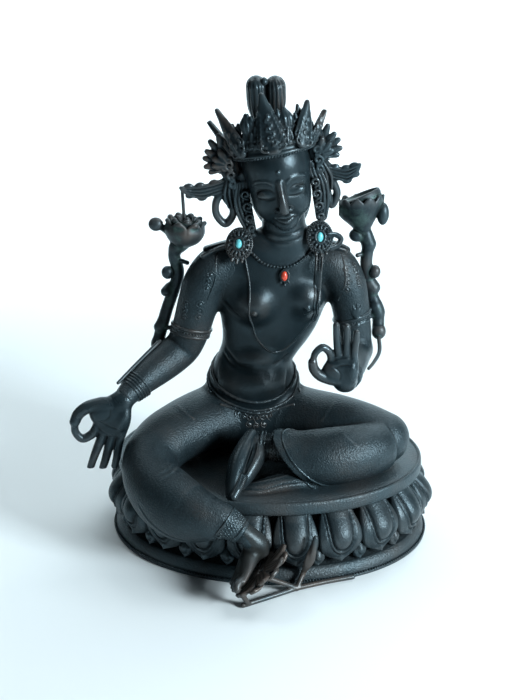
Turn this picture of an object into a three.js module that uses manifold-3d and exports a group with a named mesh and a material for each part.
// Seated figure of Tara on an oval lotus throne, her left leg drawn in and her right stepping down to a
// small lotus. It is a dark copper-alloy casting in a few pieces, with three set stones, at real size in
// millimetres: +X is to the viewer's right, -Y to the front and +Z up. The origin is on the underside of
// the throne, at its middle.
import * as THREE from 'three';
import { mergeVertices } from 'three/addons/utils/BufferGeometryUtils.js';
import Module from 'manifold-3d';

const wasm = await Module();
wasm.setup();

// Driving dimensions of the throne: a flat-topped slab, a ring of hanging petals and a foot band.
const THRONE_HEIGHT = 75;
const SEAT_WIDTH = 278;
const SEAT_DEPTH = 212;
const SLAB_HEIGHT = 12;
const FOOT_WIDTH = 291;
const FOOT_DEPTH = 223;
const BAND_HEIGHT = 14;
const PETAL_COUNT = 20;
const PETAL_REACH = 11;
const PETAL_PHASE = -0.25;

// Driving dimensions of the figure. Its pose and carving are drawn 333 high and are scaled together, and so
// is the distance from the seat's front edge back to its middle, which keeps the lowered leg off the throne.
const FIGURE_HEIGHT = 333;
const SCALE = FIGURE_HEIGHT / 333;
const FIGURE_SETBACK = 106 * SCALE;

// Driving dimensions of what is fitted to it.
const CASTING_GAP = 0.3;
const STONE_WIDTH = 5.4;
const STONE_HEIGHT = 8.4;
const STONE_RISE = 2.6;
const LOTUS_THICKNESS = 5;
const STEM_RADIUS = 2.2;

const X = new THREE.Vector3(1, 0, 0);
const Y = new THREE.Vector3(0, 1, 0);
const Z = new THREE.Vector3(0, 0, 1);
const degrees = THREE.MathUtils.degToRad;

// Closed surfaces and solids.

// A closed skin over rings of points, one after the other, with each end fanned shut.
function skin(rings) {
  const sides = rings[0].length;
  const points = rings.flat();
  const faces = [];
  for (let ring = 0; ring + 1 < rings.length; ring++) {
    for (let k = 0; k < sides; k++) {
      const a = ring * sides + k;
      const b = ring * sides + (k + 1) % sides;
      faces.push(a, b, a + sides, b, b + sides, a + sides);
    }
  }
  const middle = (ring) => ring.reduce((sum, p) => sum.add(p), new THREE.Vector3()).divideScalar(sides);
  const last = (rings.length - 1) * sides;
  points.push(middle(rings[0]), middle(rings.at(-1)));
  for (let k = 0; k < sides; k++) {
    faces.push(k, points.length - 2, (k + 1) % sides);
    faces.push(last + k, last + (k + 1) % sides, points.length - 1);
  }
  const geometry = new THREE.BufferGeometry();
  geometry.setFromPoints(points);
  geometry.setIndex(faces);
  return geometry;
}

// The closed geometry as a solid, turned right side out.
function solid(geometry) {
  const bare = geometry.clone();
  bare.deleteAttribute('normal');
  bare.deleteAttribute('uv');
  const merged = mergeVertices(bare, 1e-4);
  const vertProperties = new Float32Array(merged.getAttribute('position').array);
  const triVerts = new Uint32Array(merged.index.array);
  const made = new wasm.Manifold(new wasm.Mesh({ numProp: 3, vertProperties, triVerts }));
  if (made.volume() > 0) return made;
  for (let i = 0; i < triVerts.length; i += 3) {
    [triVerts[i + 1], triVerts[i + 2]] = [triVerts[i + 2], triVerts[i + 1]];
  }
  return new wasm.Manifold(new wasm.Mesh({ numProp: 3, vertProperties, triVerts }));
}

const join = (solids) => solids.reduce((whole, next) => whole.add(next));

// A solid back as a geometry that can be drawn.
function geometryOf(made) {
  const mesh = made.getMesh();
  const geometry = new THREE.BufferGeometry();
  geometry.setAttribute('position', new THREE.BufferAttribute(new Float32Array(mesh.vertProperties), 3));
  geometry.setIndex(new THREE.BufferAttribute(new Uint32Array(mesh.triVerts), 1));
  geometry.computeVertexNormals();
  return geometry;
}

// A drawing frame: where a drawn point and a drawn direction lie in the whole piece.
function frame(origin, xAxis, yAxis, zAxis, size = SCALE) {
  const turn = new THREE.Matrix4().makeBasis(xAxis, yAxis, zAxis);
  return {
    at: (x, y, z) => new THREE.Vector3(x, y, z).multiplyScalar(size).applyMatrix4(turn).add(origin),
    way: (x, y, z) => new THREE.Vector3(x, y, z).transformDirection(turn),
    size,
  };
}

// A frame whose y axis is `along` and whose z axis leans to `out`. Its x axis is on the right or, mirrored,
// on the left.
function framed(origin, along, out, mirrored = false, size = SCALE) {
  const yAxis = along.clone().normalize();
  const zAxis = out.clone().addScaledVector(yAxis, -out.dot(yAxis)).normalize();
  const xAxis = new THREE.Vector3().crossVectors(yAxis, zAxis).multiplyScalar(mirrored ? -1 : 1);
  return frame(origin, xAxis, yAxis, zAxis, size);
}

// Rings of an oval tube. A row is [x, y, z, half width, half depth], and the width lies along `side`.
function tubeRings(place, rows, side, sides) {
  const centres = rows.map(([x, y, z]) => place.at(x, y, z));
  return rows.map((row, i) => {
    const ahead = centres[Math.min(i + 1, rows.length - 1)];
    const along = ahead.clone().sub(centres[Math.max(i - 1, 0)]).normalize();
    const across = side.clone().addScaledVector(along, -side.dot(along)).normalize();
    const out = new THREE.Vector3().crossVectors(along, across);
    return Array.from({ length: sides }, (_, k) => {
      const turn = (2 * Math.PI * k) / sides;
      return centres[i].clone()
        .addScaledVector(across, Math.cos(turn) * row[3] * place.size)
        .addScaledVector(out, Math.sin(turn) * row[4] * place.size);
    });
  });
}

// Extra rows that round the end of a limb over, from the row `end` away from the row `before` it.
function domed(end, before) {
  const reach = Math.min(end[3], end[4]);
  const step = new THREE.Vector3(...end).sub(new THREE.Vector3(...before)).setLength(reach);
  const bends = reach > 6 ? [[0.6, 0.8], [0.92, 0.38]] : [[0.75, 0.6]];
  return bends.map(([out, shrink]) => [
    end[0] + step.x * out, end[1] + step.y * out, end[2] + step.z * out, end[3] * shrink, end[4] * shrink,
  ]);
}

// Pushes points of the rings along `way` round each swelling, [x, y, z, radius, rise].
function swollen(place, rings, way, swells) {
  return rings.map((ring) => ring.map((point) => {
    const rise = swells.reduce((sum, [x, y, z, radius, height]) => {
      const away = point.distanceTo(place.at(x, y, z)) / (radius * place.size);
      return sum + height * place.size * Math.exp(-away * away);
    }, 0);
    return point.clone().addScaledVector(way, rise);
  }));
}

// A limb: a tube with either end rounded over.
function limb(place, rows, side, { sides = 12, start = true, end = true, way = null, swells = [] } = {}) {
  const full = [
    ...(start ? domed(rows[0], rows[1]).reverse() : []),
    ...rows,
    ...(end ? domed(rows.at(-1), rows.at(-2)) : []),
  ];
  const rings = tubeRings(place, full, side, sides);
  return solid(skin(swells.length ? swollen(place, rings, way, swells) : rings));
}

// A round cord through the points, of one radius or of one that runs from `radius` to `tip`.
function cord(place, points, radius, { tip = radius, sides = 5, side = Z, start = true, end = true } = {}) {
  const rows = points.map((point, i) => {
    const r = THREE.MathUtils.lerp(radius, tip, i / (points.length - 1));
    return [...point, r, r];
  });
  return limb(place, rows, side, { sides, start, end });
}

// An egg shape of the three half sizes about a drawn point.
function egg(place, centre, half, rows = 4, sides = 8) {
  const rings = [];
  for (let i = 0; i <= rows; i++) {
    const tilt = THREE.MathUtils.lerp(-1.35, 1.35, i / rows);
    rings.push(Array.from({ length: sides }, (_, k) => {
      const turn = (2 * Math.PI * k) / sides;
      return place.at(
        centre[0] + half[0] * Math.cos(tilt) * Math.cos(turn),
        centre[1] + half[1] * Math.cos(tilt) * Math.sin(turn),
        centre[2] + half[2] * Math.sin(tilt) / Math.sin(1.35),
      );
    }));
  }
  return solid(skin(rings));
}

// The lotus throne.

const world = frame(new THREE.Vector3(), X, Y, Z, 1);

// An oval slice through the throne, `grow` outside the oval of the given width and depth.
function oval(width, depth, z, grow, turns) {
  return turns.map((turn) => new THREE.Vector3(
    Math.cos(turn) * (width / 2 + grow), Math.sin(turn) * (depth / 2 + grow), z,
  ));
}

// The angle on the seat's oval at each share of its length, counted from the middle of the front.
const ovalSteps = Array.from({ length: 721 }, (_, i) => (2 * Math.PI * i) / 720 - Math.PI / 2);
const ovalLengths = [0];
for (let i = 1; i < ovalSteps.length; i++) {
  const [a, b] = [ovalSteps[i - 1], ovalSteps[i]].map((turn) =>
    new THREE.Vector2(Math.cos(turn) * SEAT_WIDTH / 2, Math.sin(turn) * SEAT_DEPTH / 2));
  ovalLengths.push(ovalLengths[i - 1] + a.distanceTo(b));
}
function turnAt(share) {
  const wanted = THREE.MathUtils.euclideanModulo(share, 1) * ovalLengths.at(-1);
  const i = Math.max(1, ovalLengths.findIndex((length) => length >= wanted));
  const part = (wanted - ovalLengths[i - 1]) / (ovalLengths[i] - ovalLengths[i - 1]);
  return THREE.MathUtils.lerp(ovalSteps[i - 1], ovalSteps[i], part);
}

// Across one petal: the deep crease before it, then its border and its raised middle lobe.
// Each sample is [share of the petal's half width, stand-out], and null is the crease.
const petalSamples = [null, [-1, -2], [-0.38, 3], [0.38, 3], [1, -2]];
// Down the petal: [share of the drop, stand-out past the seat's edge, width over spacing, crease].
const petalLevels = [
  [1, -1, 0.3, -8], [0.84, 5, 0.74, -7], [0.46, PETAL_REACH, 0.93, -6], [0, -4, 0.64, -14],
];
const petalTop = THRONE_HEIGHT - SLAB_HEIGHT;

function petalRing([share, stand, width, crease]) {
  const z = petalTop - (petalTop - BAND_HEIGHT) * share;
  return Array.from({ length: PETAL_COUNT }, (_, n) => petalSamples.map((sample) => {
    const middle = (n + PETAL_PHASE) / PETAL_COUNT;
    const [place, rise] = sample ? [sample[0] * width / 2, stand + sample[1]] : [-0.5, crease];
    const turn = turnAt(middle + place / PETAL_COUNT);
    const normal = new THREE.Vector3(Math.cos(turn) * SEAT_DEPTH, Math.sin(turn) * SEAT_WIDTH, 0);
    return new THREE.Vector3(Math.cos(turn) * SEAT_WIDTH / 2, Math.sin(turn) * SEAT_DEPTH / 2, z)
      .addScaledVector(normal.normalize(), rise);
  })).flat();
}

const ringTurns = Array.from({ length: PETAL_COUNT }, (_, n) => petalSamples.map((sample) =>
  turnAt((n + PETAL_PHASE + (sample ? sample[0] * 0.42 : -0.5)) / PETAL_COUNT))).flat();
const throne = solid(skin([
  oval(FOOT_WIDTH, FOOT_DEPTH, 0, -0.5, ringTurns),
  oval(FOOT_WIDTH, FOOT_DEPTH, 5, 0, ringTurns),
  oval(FOOT_WIDTH, FOOT_DEPTH, BAND_HEIGHT - 1, -5, ringTurns),
  ...petalLevels.map(petalRing),
  oval(SEAT_WIDTH, SEAT_DEPTH, petalTop + 1, 0, ringTurns),
  oval(SEAT_WIDTH, SEAT_DEPTH, THRONE_HEIGHT, 0, ringTurns),
]));

// The room that the throne takes up, petals and all, with the casting gap round it.
const roomTurns = Array.from({ length: 36 }, (_, k) => (2 * Math.PI * k) / 36);
const throneRoom = solid(skin([
  oval(FOOT_WIDTH, FOOT_DEPTH, -1, 1.5, roomTurns),
  oval(FOOT_WIDTH, FOOT_DEPTH, BAND_HEIGHT + 4, 1.5, roomTurns),
  oval(SEAT_WIDTH, SEAT_DEPTH, petalTop - 34, PETAL_REACH + 5, roomTurns),
  oval(SEAT_WIDTH, SEAT_DEPTH, petalTop - 18, PETAL_REACH + 4.5, roomTurns),
  oval(SEAT_WIDTH, SEAT_DEPTH, petalTop, 4, roomTurns),
  oval(SEAT_WIDTH, SEAT_DEPTH, THRONE_HEIGHT - 1.5, 1.6, roomTurns),
  oval(SEAT_WIDTH, SEAT_DEPTH, THRONE_HEIGHT + CASTING_GAP, 0.6, roomTurns),
]));

// The figure, drawn from the seat upwards: z is the height above the seat.

const seat = new THREE.Vector3(0, FIGURE_SETBACK - SEAT_DEPTH / 2, THRONE_HEIGHT);
const body = frame(seat, X, Y, Z);

// The torso stands on a broad lap, narrows to the waist over the belt, and turns a little to her left.
const TORSO_TURN = degrees(12);
const torsoSide = new THREE.Vector3(Math.cos(TORSO_TURN), Math.sin(TORSO_TURN), 0);
const torsoFront = new THREE.Vector3(Math.sin(TORSO_TURN), -Math.cos(TORSO_TURN), 0);
const torso = limb(body, [
  [-15, 28, -1, 50, 40], [-15, 28, 20, 54, 42], [-15, 25, 43, 44, 35.5],
  [-15, 24, 45, 46.5, 38], [-15, 23, 61, 43, 35], [-15, 23, 63, 39, 31.5],
  [-13, 22, 76, 34.5, 27], [-11, 21, 89, 33, 25], [-7, 20, 106, 37, 25], [-3, 18, 126, 45, 26.5],
  [1, 16.5, 141, 49, 27.5], [4, 15.5, 156, 52, 27], [8, 14, 174, 51, 24], [10, 12, 186, 42, 21],
  [12, 10, 195, 29, 19], [12, 8, 203, 21, 18.5], [11, 4, 228, 19, 18],
], torsoSide, {
  sides: 16, start: false, end: false, way: torsoFront,
  swells: [[-15, -7, 146, 15, 17], [24, 2, 147, 15, 17], [-13, -6, 76, 20, 4]],
});

// The lap cloth that shows between belt and thighs.
const apron = egg(body, [-12, -7, 35], [21, 13, 13], 2, 8);

// Arms. The upper arm carries an armlet under the sleeve, and the forearm ends in bracelets.
const rightArm = limb(body, [
  [-36, 6, 174, 15, 17], [-50, 3, 172, 18, 18], [-57, 1, 156, 18.5, 18], [-63, 2, 136, 18.5, 18],
  [-67, 3.5, 121, 18, 17.5], [-68, 4, 119, 20.5, 20], [-72, 5.5, 108, 19, 18.5], [-73, 5.6, 106, 16, 16],
  [-77, 6, 94, 15.5, 15.5], [-88, -4, 86, 15, 15], [-101, -20, 78, 13.8, 13.5],
  [-112, -33, 70.5, 11.8, 11.8], [-113, -34.5, 69.5, 13.5, 13.3], [-120, -42, 65, 12, 11.8],
  [-121, -43, 64.5, 10.2, 10], [-127, -47, 60, 9.5, 8.5],
], Y, { sides: 8, start: false, end: false });
const leftArm = [
  limb(body, [
    [44, 17, 174, 15, 17], [60, 18, 172, 17.5, 17.5], [67, 20, 155, 17.5, 17], [71, 22, 134, 17, 16.5],
    [73, 22.5, 123, 16.8, 16.2], [73.5, 22.7, 121, 19, 18.5], [75.8, 23, 110.5, 17.5, 17],
    [76, 23, 109, 14.8, 14.8], [78, 23, 92, 13.5, 13.5],
  ], Y, { sides: 8, start: false }),
  limb(body, [
    [78, 22, 91, 13.5, 13.5], [75, 2, 90, 12.8, 12.5], [70, -24, 90, 11, 10.8], [69.5, -26, 90, 12.5, 12.2],
    [68, -33, 90, 11.8, 11.6], [67.8, -34, 90, 10, 9.8], [65, -48, 91, 9, 8.5],
  ], Z, { sides: 8, start: false, end: false }),
];

// A hand: palm, three free fingers, and thumb and first finger closed to a ring. y runs to the tips and x
// to the thumb.
function hand(place) {
  const across = place.way(1, 0, 0);
  const finger = (points, radius) =>
    cord(place, points, radius, { tip: radius * 0.8, sides: 4, side: across, start: false });
  return [
    limb(place, [[0, -4, 0, 9, 8], [0.5, 6, 0, 12, 7.4], [0, 18, 0, 14, 6], [-0.5, 28, 0, 13.5, 5]], across,
      { sides: 8, start: false, end: false }),
    finger([[-9, 25, 0], [-12, 38, 1], [-14, 51, 3]], 3.9),
    finger([[-3, 25, 0], [-5, 43, 0.5], [-6, 58, 2.5]], 4.2),
    finger([[3, 25, 0], [3.4, 45, 0.5], [3.2, 60, 2.5]], 4.2),
    finger([[8.5, 25, 0], [11, 38, 2], [18, 43, 4.5], [25, 37, 7], [27, 28, 8]], 4),
    finger([[3, 2, 1], [12, 5, 4], [22, 12, 7], [27.5, 21, 8], [27, 30, 8]], 5),
  ];
}
const rightHand = hand(framed(body.at(-128, -47.5, 61), new THREE.Vector3(-0.36, -0.1, -0.92),
  new THREE.Vector3(0, -1, 0.1), false, SCALE * 1.05));
const leftHand = hand(framed(body.at(65, -50, 90), new THREE.Vector3(-0.13, -0.1, 1),
  new THREE.Vector3(0, -1, 0), true, SCALE * 0.92));

// Legs in smooth trousers. A row here is [x, y, z, half height, half width].
const rightLeg = limb(body, [
  [-34, 28, 29, 28, 34], [-54, 6, 27, 26, 33], [-76, -18, 24, 25, 30], [-93, -40, 21, 24, 27],
  [-101, -59, 15, 24, 24], [-96, -77, 6, 25, 24], [-79, -94, -3, 27.5, 26], [-60, -107, -8, 26, 24],
  [-43, -116, -8, 20, 19], [-32, -120, -5, 14.5, 13.5], [-31, -120.5, -5, 16, 15], [-21, -122, -9, 14, 13],
  [-20, -122, -9.5, 11, 10.5], [-12, -121, -17, 9, 9.5], [-6, -117, -27, 9.5, 10],
], Z, { sides: 10, start: false, end: false });
const leftLeg = [
  limb(body, [
    [8, 28, 30, 29, 34], [32, 16, 28, 26, 31], [60, 2, 26, 24.5, 29], [86, -10, 23, 23, 26],
    [102, -18, 21, 22, 24],
  ], Z, { sides: 10, start: false }),
  limb(body, [
    [98, -26, 22, 24, 25], [84, -37, 24, 27, 26], [62, -47, 27, 28, 27], [42, -52, 26, 27, 26],
    [26, -56, 20, 22, 21], [25, -56, 20, 13, 13], [8, -52, 21, 12.5, 12.5], [4, -51.5, 21, 14.5, 14.5],
    [1, -51, 21, 14.5, 14.5], [0, -51, 21, 12, 12], [-12, -51, 24, 10, 11],
  ], Z, { sides: 10, start: false, end: false }),
];

// A foot: heel at the origin, y to the toes, x to the big toe, z up from the sole.
function foot(place) {
  const across = place.way(1, 0, 0);
  const toes = [[9, 62, 4.8], [2.6, 60, 3.6], [-2.8, 57, 3.4], [-7.8, 53, 3.2], [-12, 49, 3]];
  return [
    limb(place, [
      [0, -1, 10, 9.5, 10], [0, 8, 11, 11.5, 11], [0, 20, 9.5, 12, 9.5], [0.5, 34, 6.5, 13.5, 6.5],
      [0.5, 48, 4.4, 14.5, 4.4],
    ], across, { sides: 8, end: false }),
    ...toes.map(([x, reach, radius]) => cord(place, [[x * 0.9, 44, radius], [x, reach - radius, radius]],
      radius, { sides: 4, side: across, start: false })),
  ];
}
const rightFootPlace = framed(body.at(-2, -112, -36), new THREE.Vector3(-0.28, -0.76, -0.58),
  new THREE.Vector3(-0.45, -0.35, 0.82), true, SCALE * 0.82);
const leftFootPlace = framed(body.at(-19, -49, 37), new THREE.Vector3(-0.15, -0.62, -0.77),
  new THREE.Vector3(0.7, 0.48, -0.52), false, SCALE * 0.92);

// The head, bent a little forward and to her right. Its own drawing has z up and -y out of the face.
const headBend = new THREE.Euler(degrees(12), degrees(-10), degrees(6), 'ZYX');
const headTurn = new THREE.Matrix4().makeRotationFromEuler(headBend);
const headAxes = [new THREE.Vector3(), new THREE.Vector3(), new THREE.Vector3()];
headTurn.extractBasis(...headAxes);
const head = frame(body.at(7, -2, 254), ...headAxes);
const headSide = headAxes[0];

// Eyelid, ear with its long lobe, and the braid beside it.
const headHalf = (side) => [
  egg(head, [side * 12, -26, -3], [8, 4, 3], 2, 6),
  limb(head, [[side * 28, 6, 8, 4, 7], [side * 29.5, 5, -10, 3.5, 5], [side * 29, 3, -28, 3.5, 4.5]],
    headSide, { sides: 6, start: false, end: false }),
  limb(head, [[side * 30, 0, -4, 4.5, 5], [side * 33, -3, -24, 6, 5], [side * 31, -5, -46, 5, 5]],
    headSide, { sides: 6, start: false, end: false }),
];
// Hair: the mass at the nape, and the topknot with its two full lobes.
const hair = [
  limb(head, [[0, 14, 18, 25, 16], [0, 17, -10, 24, 14], [0, 18, -32, 23, 10], [0, 20, -56, 26, 8]],
    headSide, { sides: 6, start: false, end: false }),
  ...[1, -1].map((side) => limb(head, [
    [side * 5.5, 12, 34, 8, 13], [1 + side * 5.2, 13, 47, 6.8, 10.5], [3.5 + side * 7.2, 12, 61, 8.5, 11],
    [5.5 + side * 7.6, 12, 73, 8.2, 10.5],
  ], headSide, { sides: 8, start: false })),
  egg(head, [5.5, 9, 79], [3, 4, 4], 2, 4),
];
const headSolids = [
  limb(head, [
    [0, -15, -37, 9, 9], [0, -11, -31, 17, 16], [0, -7, -21, 23.5, 22.5], [0, -3, -9, 27.5, 27],
    [0, 0, 4, 29.5, 29.5], [0, 1, 17, 29.5, 30.5], [0, 2, 30, 26.5, 27.5], [0, 3, 42, 18, 18],
  ], headSide, {
    sides: 12, end: false, way: head.way(0, -1, 0), swells: [[0, -23, -35, 8, 3], [0, -27, 16, 16, 2]],
  }),
  limb(head, [[0, -27, 2, 2, 3], [0, -29.5, -8, 3, 4], [0, -30, -13, 4.2, 4.4]], headSide, { sides: 4 }),
  egg(head, [0, -27, -22], [6.5, 3.2, 2.8], 2, 6),
  ...headHalf(1),
  ...headHalf(-1),
  ...hair,
];

// Dress: the oval rosettes on both shoulders, the cloth looped behind them, and the scarf down her left.
const rosettePlaces = [
  framed(body.at(-25, -15, 198), new THREE.Vector3(0.1, 0.35, 0.9), new THREE.Vector3(-0.1, -1, 0.3)),
  framed(body.at(43, -2, 202), new THREE.Vector3(-0.1, 0.3, 0.95), new THREE.Vector3(0.2, -1, 0.25)),
];
const rosette = (place) => limb(place, [
  [0, 0, -6, 10, 12], [0, 0, -1, 11.5, 14], [0, 0, 0, 10.5, 13], [0, 0, 0.2, 5.5, 7.5],
  [0, 0, 1.6, 4.6, 6.4],
], place.way(1, 0, 0), { sides: 10, start: false, end: false });
const dress = [
  ...rosettePlaces.map(rosette),
  limb(body, [[-16, 5, 203, 13, 8], [-34, 6, 192, 15, 8], [-50, 4, 180, 12, 6]], Y,
    { sides: 6, start: false, end: false }),
  limb(body, [[38, 12, 207, 13, 8], [54, 15, 196, 14, 8], [66, 17, 182, 12, 6]], Y,
    { sides: 6, start: false, end: false }),
  limb(body, [
    [44, 1, 192, 7, 3], [43, -8, 178, 8, 3], [42, -16, 158, 8, 3], [40, -16, 140, 7, 3], [37, -8, 126, 4, 3],
  ], X, { sides: 4, start: false, end: false }),
];

const bareFigure = join([
  torso, apron, rightArm, ...leftArm, ...rightHand, ...leftHand, rightLeg, ...leftLeg,
  ...foot(rightFootPlace), ...foot(leftFootPlace), ...headSolids, ...dress,
]);

// Necklaces: cords laid on the body. Each drawn point is [x, z], and the cord lies where a line from the
// front meets the body.
const bothSides = new THREE.MeshBasicMaterial({ side: THREE.DoubleSide });
const bodyMesh = new THREE.Mesh(geometryOf(bareFigure), bothSides);
const ray = new THREE.Raycaster();
function hitFrom(from, direction) {
  ray.set(from, direction);
  return ray.intersectObject(bodyMesh)[0];
}
const onFront = (x, z) => hitFrom(body.at(x, -250, z), Y).point;
function laid(points, radius, steps) {
  const curve = new THREE.CatmullRomCurve3(points.map(([x, z]) => new THREE.Vector3(x, 0, z)));
  const places = curve.getPoints(steps).map((p) =>
    onFront(p.x, p.z).addScaledVector(torsoFront, radius * 0.4).toArray());
  return cord(world, places, radius * SCALE, { sides: 3, side: Y, start: false, end: false });
}
const PENDANT = [13, 170];
const necklaces = [
  laid([[-16, 193], [-4, 186], [14, 181], [29, 186], [38, 194]], 2, 10),
  laid([
    [-20, 188], [-15, 165], [-15, 142], [-10, 120], [-2, 106], [8, 102], [20, 109], [32, 126], [38, 138],
  ], 1.6, 14),
];
const pendantPlace = framed(onFront(...PENDANT), new THREE.Vector3(0, 0, 1), torsoFront);
const pendant = limb(pendantPlace, [[0, -2, -4, 4.4, 6], [0, 0, 0.5, 5, 6.6], [0, 0, 2.2, 4.4, 6]], X,
  { sides: 8, start: false, end: false });

const figure = join([bareFigure, ...necklaces, pendant]).subtract(throneRoom);

// Stones, each a cabochon held just off the face of its setting.
function cabochon(place, lift) {
  const half = [STONE_WIDTH / 2, STONE_HEIGHT / 2];
  const base = lift * place.size + CASTING_GAP;
  const rings = [[0, 1], [0.5, 0.88], [1, 0.4]].map(([rise, share]) =>
    Array.from({ length: 8 }, (_, k) => {
      const turn = (2 * Math.PI * k) / 8;
      return place.at(0, 0, 0)
        .addScaledVector(place.way(1, 0, 0), Math.cos(turn) * half[0] * share)
        .addScaledVector(place.way(0, 1, 0), Math.sin(turn) * half[1] * share)
        .addScaledVector(place.way(0, 0, 1), base + STONE_RISE * rise);
    }));
  return solid(skin(rings));
}

// The crown. Its band is tipped up at the front, and its drawing has the band's plane at z = 0.

const CROWN_TILT = degrees(15);
const crownPlace = frame(
  head.at(0, 2.8, 22), headSide, head.way(0, Math.cos(CROWN_TILT), -Math.sin(CROWN_TILT)),
  head.way(0, Math.sin(CROWN_TILT), Math.cos(CROWN_TILT)),
);
const BAND_HALF = [31.2, 31.8];
const BAND_WALL = 2.6;
const CROWN_BAND_HEIGHT = 9;
const FOLIAGE_RISE = 18;

// A plate: the outline in the x and z of the place, or in its x and y, with the thickness through it.
function plate(place, outline, thickness) {
  const flat = new THREE.ExtrudeGeometry(new THREE.Shape(outline.map(([x, y]) => new THREE.Vector2(x, y))),
    { depth: thickness, bevelEnabled: false });
  const points = flat.getAttribute('position');
  for (let i = 0; i < points.count; i++) {
    const p = place.at(points.getX(i), points.getY(i), points.getZ(i) - thickness / 2);
    points.setXYZ(i, p.x, p.y, p.z);
  }
  return solid(flat);
}
// A leaf of the crown, with a ridge down its back and front. It stands on the band at `turn` from the front.
const leafRows = [
  [0, 0.8, 2.6], [0.2, 1, 3.6], [0.38, 0.76, 3.4], [0.5, 0.84, 3.2], [0.74, 0.36, 2.6], [1, 0.08, 1],
];
function leaf([turn, tip, halfWidth]) {
  const t = degrees(turn);
  const root = crownPlace.at(Math.sin(t) * (BAND_HALF[0] + 3), -Math.cos(t) * (BAND_HALF[1] + 3), 2);
  const along = body.at(...tip).sub(root);
  const height = along.length() / SCALE;
  const place = framed(root, along, crownPlace.way(Math.sin(t), -Math.cos(t), 0));
  const rows = leafRows.map(([up, wide, thick]) => [0, up * height, 0, wide * halfWidth, thick]);
  return limb(place, rows, place.way(1, 0, 0), { sides: 4, start: false, end: false });
}
const crownLeaves = [
  [0, [-5, -20, 328], 15], [46, [31, -13, 320], 9], [-46, [-42, -13, 311], 9],
  [72, [45, -2, 309], 7], [-72, [-50, -5, 299], 7],
];
const budOnStem = (side) => limb(head, [
  [side * 15, -28, 33, 3, 3], [side * 16, -25.5, 45, 3, 3], [side * 16.5, -26, 48, 7, 6],
  [side * 17, -26, 55, 5, 4.5], [side * 17, -26, 58.5, 1.5, 1.5],
], headSide, { sides: 6, start: false, end: false });

// Beside each ear: a boss, a fan of leaflets, a ribbon that flies outwards, and a hanging loop of ribbon.
function crownSide(side, [hubX, ribbonX, innerX, bottomX, outerX]) {
  const boss = head.at(side * hubX, 2, 13);
  const face = frame(boss, head.way(side, 0, 0), head.way(0, 0, 1), head.way(0, -side, 0));
  const fan = [[78, 30], [56, 26], [38, 22], [20, 20], [0, 20], [-22, 18]];
  const polar = (angle, reach) => [Math.cos(degrees(angle)) * reach, Math.sin(degrees(angle)) * reach];
  const fanOutline = [[-6, -8], ...fan.toReversed().flatMap(([angle, reach]) =>
    [polar(angle - 9, reach * 0.72), polar(angle, reach)]), polar(92, 18), [-6, 14]];
  const flight = ribbonX - hubX;
  return [
    egg(head, [side * hubX, 2, 15], [8, 6, 12], 2, 6),
    plate(face, fanOutline, 4),
    plate(face, [
      [0, -14], [flight * 0.35, -17], [flight * 0.62, -18], [flight * 0.85, -15], [flight, -11],
      [flight * 0.96, -8], [flight * 0.7, -10], [flight * 0.4, -8], [0, 0],
    ], 5),
    cord(head, [
      [side * innerX, 2, 8], [side * (innerX + 1), 3, -14], [side * (innerX + 2), 3, -30],
      [side * bottomX, 3, -36], [side * outerX, 3, -26], [side * (outerX - 1), 3, -8],
      [side * (innerX + 6), 3, 0],
    ], 3.6, { sides: 4, side: Y, start: false, end: false }),
  ];
}

// The band, with the low wall of foliage that rises from it at the front.
function bandRing(grow, z, rise = 0, flare = 0) {
  return Array.from({ length: 12 }, (_, k) => {
    const turn = (2 * Math.PI * k) / 12;
    const front = Math.max(0, -Math.sin(turn));
    return crownPlace.at(
      Math.cos(turn) * (BAND_HALF[0] + grow + flare),
      Math.sin(turn) * (BAND_HALF[1] + grow + flare),
      z + rise * front,
    );
  });
}
const bandTop = (grow, z) => bandRing(grow, z, FOLIAGE_RISE, 2);
const bandOuter = solid(skin([bandRing(BAND_WALL, 0), bandTop(BAND_WALL, CROWN_BAND_HEIGHT)]));
const bandInner = solid(skin([bandRing(0, -5), bandTop(0, CROWN_BAND_HEIGHT + 5)]));
const band = bandOuter.subtract(bandInner);
const crown = join([
  band,
  ...crownLeaves.map(leaf),
  budOnStem(1),
  budOnStem(-1),
  ...crownSide(1, [42, 69, 38, 41, 47]),
  ...crownSide(-1, [42, 82, 42, 51, 57]),
]);

// The two lotus sprays beside her shoulders: a stem with buds, a bloom on top, and struts towards the arm.
const upright = (x, y, z, lean = [0, 0, 1]) =>
  framed(body.at(x, y, z), new THREE.Vector3(...lean), new THREE.Vector3(0, -1, 0));
const stem = (points, radius, options) => cord(body, points, radius, { sides: 6, side: X, ...options });

const bud = (centre, half) => egg(body, centre, half, 2, 7);

// A strut from a point on the spray towards a point in the body, ending the casting gap off its surface.
function strut(from, towards, radius) {
  const [a, b] = [body.at(...from), body.at(...towards)];
  const direction = b.clone().sub(a).normalize();
  const reach = hitFrom(a, direction).distance - CASTING_GAP - radius * 0.7;
  const end = a.clone().addScaledVector(direction, reach);
  return cord(world, [a.toArray(), end.toArray()], radius, { start: false, end: false });
}

// An open blossom: lobed rings up the outside of its petals and down again to the seed head.
// A row is [radius, share that the lobes add, height, height that the lobes add].
const blossomRows = [
  [4, 0, -5, 0], [11, 0.08, 4, 0], [15, 0.12, 13, 2], [14.5, 0.24, 24, 4], [8, 0.1, 15, 0], [6, 0, 21, 0],
];
function blossom(place, petals) {
  const sides = petals * 2;
  const ring = ([radius, spread, height, lift]) => Array.from({ length: sides }, (_, k) => {
    const turn = (2 * Math.PI * k) / sides;
    const lobe = Math.cos(petals * turn);
    const out = radius * (1 + spread * lobe);
    return place.at(Math.cos(turn) * out, height + lift * lobe, Math.sin(turn) * out);
  });
  return solid(skin(blossomRows.map(ring)));
}

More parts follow.
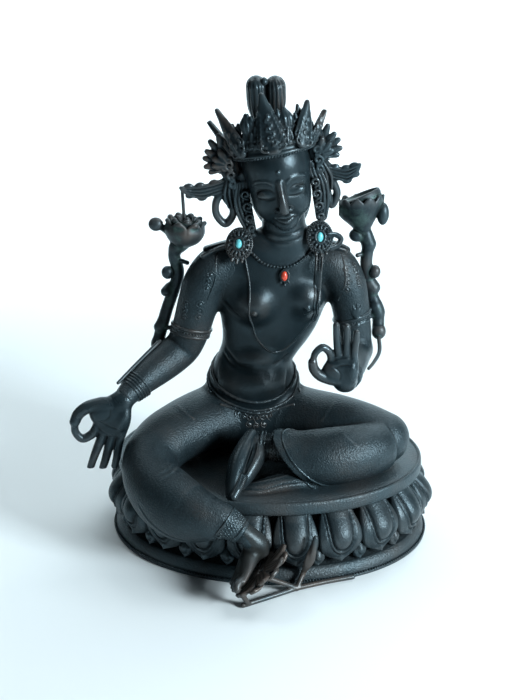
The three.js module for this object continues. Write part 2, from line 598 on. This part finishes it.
const rightSpray = join([
  stem([
    [-80, 12, 196], [-85, 13, 180], [-82, 14, 164], [-86, 14, 149], [-93, 12, 129], [-99, 10, 108],
    [-102, 8, 97],
  ], 5.4),
  blossom(upright(-76, 8, 190, [0.12, 0, 1]), 7),
  stem([[-84, 12, 190], [-90, 9, 202], [-97, 6, 208]], 3, { sides: 5, start: false }),
  bud([-99, 5, 209], [6.5, 5, 6]),
  bud([-91, 11, 164], [5.5, 5, 6]),
  strut([-82, 12, 176], [-55, 6, 170], 2),
  strut([-98, 9, 112], [-70, 5, 118], 2),
  stem([[-102, 8, 97], [-98, -3, 104], [-110, -19, 95], [-121, -33, 86], [-129, -42, 79]], 1.9,
    { tip: 1.5, sides: 5, side: Z }),
]);
const leftSpray = join([
  stem([
    [80, 30, 206], [85, 31, 190], [84, 31, 172], [86, 36, 156], [90, 38, 140], [96, 37, 124], [97, 34, 106],
  ], 5.4),
  // The bud in profile: a deep cup, cut off aslant, with one sepal turned out.
  limb(upright(81, 30, 203, [-0.12, 0, 1]), [
    [0, -4, 0, 4, 4], [0, 6, 0, 11, 10], [-1, 16, 0, 19, 16], [-2, 26, 0, 22, 18], [-3, 30, 0, 18, 14],
  ], X, { sides: 12, start: false, end: false }),
  bud([97, 28, 216], [6, 6, 11]),
  bud([75, 30, 196], [7, 6, 6]),
  bud([92, 30, 163], [5, 5, 6]),
  bud([97.5, 32, 106], [6.5, 6, 7.5]),
  strut([84, 31, 180], [60, 18, 176], 2),
  strut([94, 35, 120], [72, 24, 121], 2),
  stem([[97, 31, 105], [98, 13, 94], [93, -4, 90], [88, -18, 89]], 1.9, { tip: 1.5, sides: 5, side: Z }),
]);

// The small lotus under her right foot, with its stalk lying along the foot of the throne.
const PAD_HALF = [21, 27];
const footLotusPlace = framed(
  rightFootPlace.at(9, 24, 0), rightFootPlace.way(-0.35, 0.94, 0), rightFootPlace.way(0, 0, 1), false, 1,
);
function padRing(lift, share) {
  return Array.from({ length: 21 }, (_, k) => {
    const turn = (2 * Math.PI * k) / 21;
    const scallop = 1 + 0.08 * Math.cos(7 * turn);
    return footLotusPlace.at(
      Math.cos(turn) * PAD_HALF[0] * share * scallop, Math.sin(turn) * PAD_HALF[1] * share * scallop, lift,
    );
  });
}
const pad = solid(skin([
  padRing(-CASTING_GAP - LOTUS_THICKNESS, 0.55), padRing(-CASTING_GAP - LOTUS_THICKNESS * 0.3, 1),
  padRing(-CASTING_GAP, 0.9),
]));
const rimClear = STEM_RADIUS + CASTING_GAP + 1;
const rimFront = (x) => -FOOT_DEPTH / 2 * Math.sqrt(1 - (2 * x / FOOT_WIDTH) ** 2) - rimClear;
const padUnder = footLotusPlace.at(4, 2, -LOTUS_THICKNESS).toArray();
const stalkJoin = [31, rimFront(31) - 5, STEM_RADIUS + 0.4];
const stalk = (points, radius = STEM_RADIUS) => cord(world, points, radius, {});
const footLotus = join([
  pad,
  stalk([[78, rimFront(78), STEM_RADIUS + 1], [56, rimFront(56), STEM_RADIUS + 1], stalkJoin]),
  stalk([stalkJoin, padUnder]),
  stalk([stalkJoin, [10, stalkJoin[1] - 14, STEM_RADIUS + 0.3], [-20, stalkJoin[1] - 31, STEM_RADIUS]]),
]).subtract(throneRoom);

// Finishes.
const finish = (color, roughness, metalness) =>
  new THREE.MeshStandardMaterial({ color, roughness, metalness });
const bronze = finish(0x2f3334, 0.42, 0.9);
const throneBronze = finish(0x2b3033, 0.5, 0.9);
const greenBronze = finish(0x2c3a38, 0.6, 0.8);
const brownBronze = finish(0x453a30, 0.45, 0.9);
const turquoise = finish(0x6fc3c6, 0.35, 0);
const coral = finish(0xd6452a, 0.3, 0);

const tara = new THREE.Group();
const pieces = [
  ['lotus_throne', throne, throneBronze],
  ['tara_figure', figure, bronze],
  ['crown', crown, bronze],
  ['right_lotus_spray', rightSpray, greenBronze],
  ['left_lotus_spray', leftSpray, greenBronze],
  ['foot_lotus', footLotus, brownBronze],
  ['turquoise_right', cabochon(rosettePlaces[0], 1.6), turquoise],
  ['turquoise_left', cabochon(rosettePlaces[1], 1.6), turquoise],
  ['coral', cabochon(pendantPlace, 2.2), coral],
];
for (const [name, made, material] of pieces) {
  const mesh = new THREE.Mesh(geometryOf(made), material);
  mesh.name = name;
  tara.add(mesh);
}

export default tara;
